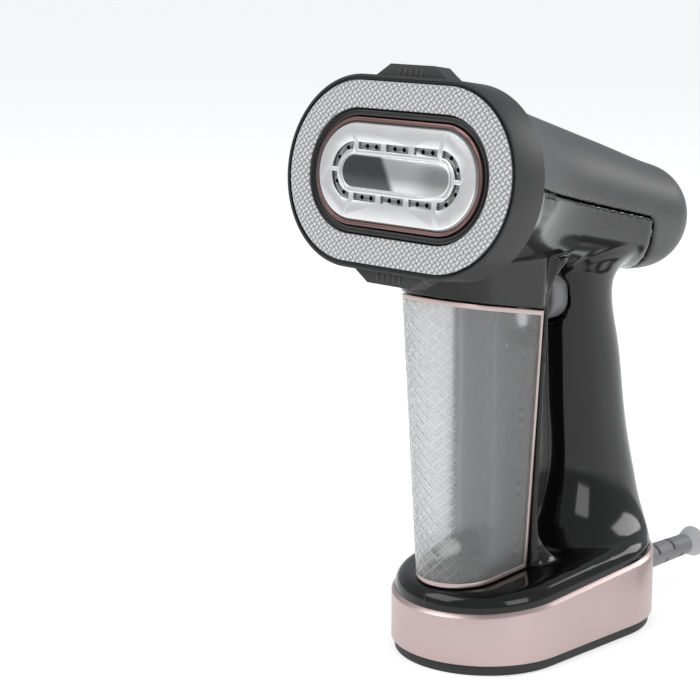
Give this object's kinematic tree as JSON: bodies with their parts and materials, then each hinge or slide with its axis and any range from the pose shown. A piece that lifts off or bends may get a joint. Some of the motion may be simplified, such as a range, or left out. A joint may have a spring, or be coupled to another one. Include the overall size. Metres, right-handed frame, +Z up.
{
  "type": "garment steamer",
  "caption": "Handheld garment steamer on a stand base: tilted oval steam head with a clip-on fabric pad ring, front water tank, loop handle with trigger, and a mains cord.",
  "frame": {"origin": "centre of the base's underside, on the surface it stands on", "axes": "+Z up, -Y towards the steam face, +X to the object's left as it is seen from the rear"},
  "size_m": [0.1787, 0.368, 0.2693],
  "materials": {
    "rubber_foot": "matte",
    "inner_plastic": "matte",
    "rose_metal": "satin metallic",
    "gloss_black": "high gloss",
    "matte_grey": "fine satin",
    "seal_rubber": "matte",
    "bronze_ring": "satin metallic",
    "polished_plate": "polished",
    "polished_plaque": "polished",
    "matte_black": "fine satin",
    "foam": "foam",
    "grey_weave": "woven",
    "cast_aluminium": "cast",
    "steel": "plain",
    "ceramic_white": "plain",
    "frosted_clear": "frosted",
    "white_plastic": "plain",
    "trigger_grey": "satin",
    "circuit_board": "lacquered",
    "lens": "clear",
    "pump_black": "plain",
    "component_black": "plain",
    "silicone": "matte",
    "cable_grey": "matte",
    "soft_grip": "dotted",
    "cable_light": "matte"
  },
  "bodies": {
    "housing": {"barrel_cover": "matte_grey", "base_band": "rose_metal", "base_foot": "rubber_foot", "base_plate": "inner_plastic", "base_screws": "steel", "board_components": "component_black", "body_left": "gloss_black", "body_right": "gloss_black", "boiler_base": "cast_aluminium", "boiler_lid": "cast_aluminium", "boiler_screws": "steel", "button_board": "circuit_board", "button_switch": "inner_plastic", "control_board": "circuit_board", "cord_clamp": "inner_plastic", "cord_coil": "cable_grey", "cord_core": "cable_grey", "cord_guard": "cable_grey", "cord_guard_flare": "cable_light", "cord_lead": "cable_grey", "cord_tail": "cable_grey", "grip_strip": "soft_grip", "heating_element": "steel", "hose_elbow": "white_plastic", "indicator_lens": "lens", "microswitch": "inner_plastic", "nose_housing": "matte_grey", "nose_seal": "seal_rubber", "plate_bezel": "bronze_ring", "plate_plaque": "polished_plaque", "plug_body": "cable_grey", "plug_pins": "steel", "pump_body": "pump_black", "pump_bracket": "steel", "steam_plate": "polished_plate", "steam_water_hose": "silicone", "terminal_block": "white_plastic", "thermal_fuse": "ceramic_white", "thermostat": "ceramic_white", "trigger_bracket": "inner_plastic", "trigger_pin": "steel", "trigger_spring": "steel", "water_inlet": "steel", "water_nozzle": "inner_plastic", "wire_harness": "cable_grey"},
    "pad_attachment": {"pad_frame": "matte_black", "pad_foam": "foam", "pad_fabric": "grey_weave"},
    "tank": {"tank_shell": "frosted_clear", "tank_trim": "rose_metal", "tank_valve_body": "inner_plastic", "tank_valve_spring": "steel", "tank_fill_plug": "seal_rubber", "tank_filter": "white_plastic"},
    "trigger": {"trigger": "trigger_grey"},
    "power_button": {"power_button": "trigger_grey"},
    "pump_plunger": {"pump_plunger": "steel"},
    "tank_valve": {"tank_valve_poppet": "white_plastic"}
  },
  "joints": [
    {"name": "trigger_pull", "type": "hinge", "parent": "housing", "child": "trigger", "pos_m": [0, 0.0194, 0.1695], "axis": [1, 0, 0], "range_deg": [0, 7], "stiffness_Nm_per_rad": 0.5, "springref_deg": -6.88},
    {"name": "pad_release", "type": "slide", "parent": "housing", "child": "pad_attachment", "axis": [0, -0.9884, 0.152], "range_m": [0, 0.03]},
    {"name": "tank_release", "type": "slide", "parent": "housing", "child": "tank", "axis": [0, -1, 0], "range_m": [0, 0.09]},
    {"name": "power_press", "type": "slide", "parent": "housing", "child": "power_button", "axis": [0, -0.9884, 0.152], "range_m": [0, 0.0012], "stiffness_N_per_m": 900, "springref_m": -0.0012},
    {"name": "pump_stroke", "type": "slide", "parent": "housing", "child": "pump_plunger", "axis": [0, -1, 0], "range_m": [0, 0.0025], "stiffness_N_per_m": 300, "springref_m": -0.001},
    {"name": "tank_valve_lift", "type": "slide", "parent": "tank", "child": "tank_valve", "axis": [0, -1, 0], "range_m": [0, 0.0006], "stiffness_N_per_m": 200, "springref_m": -0.001}
  ]
}
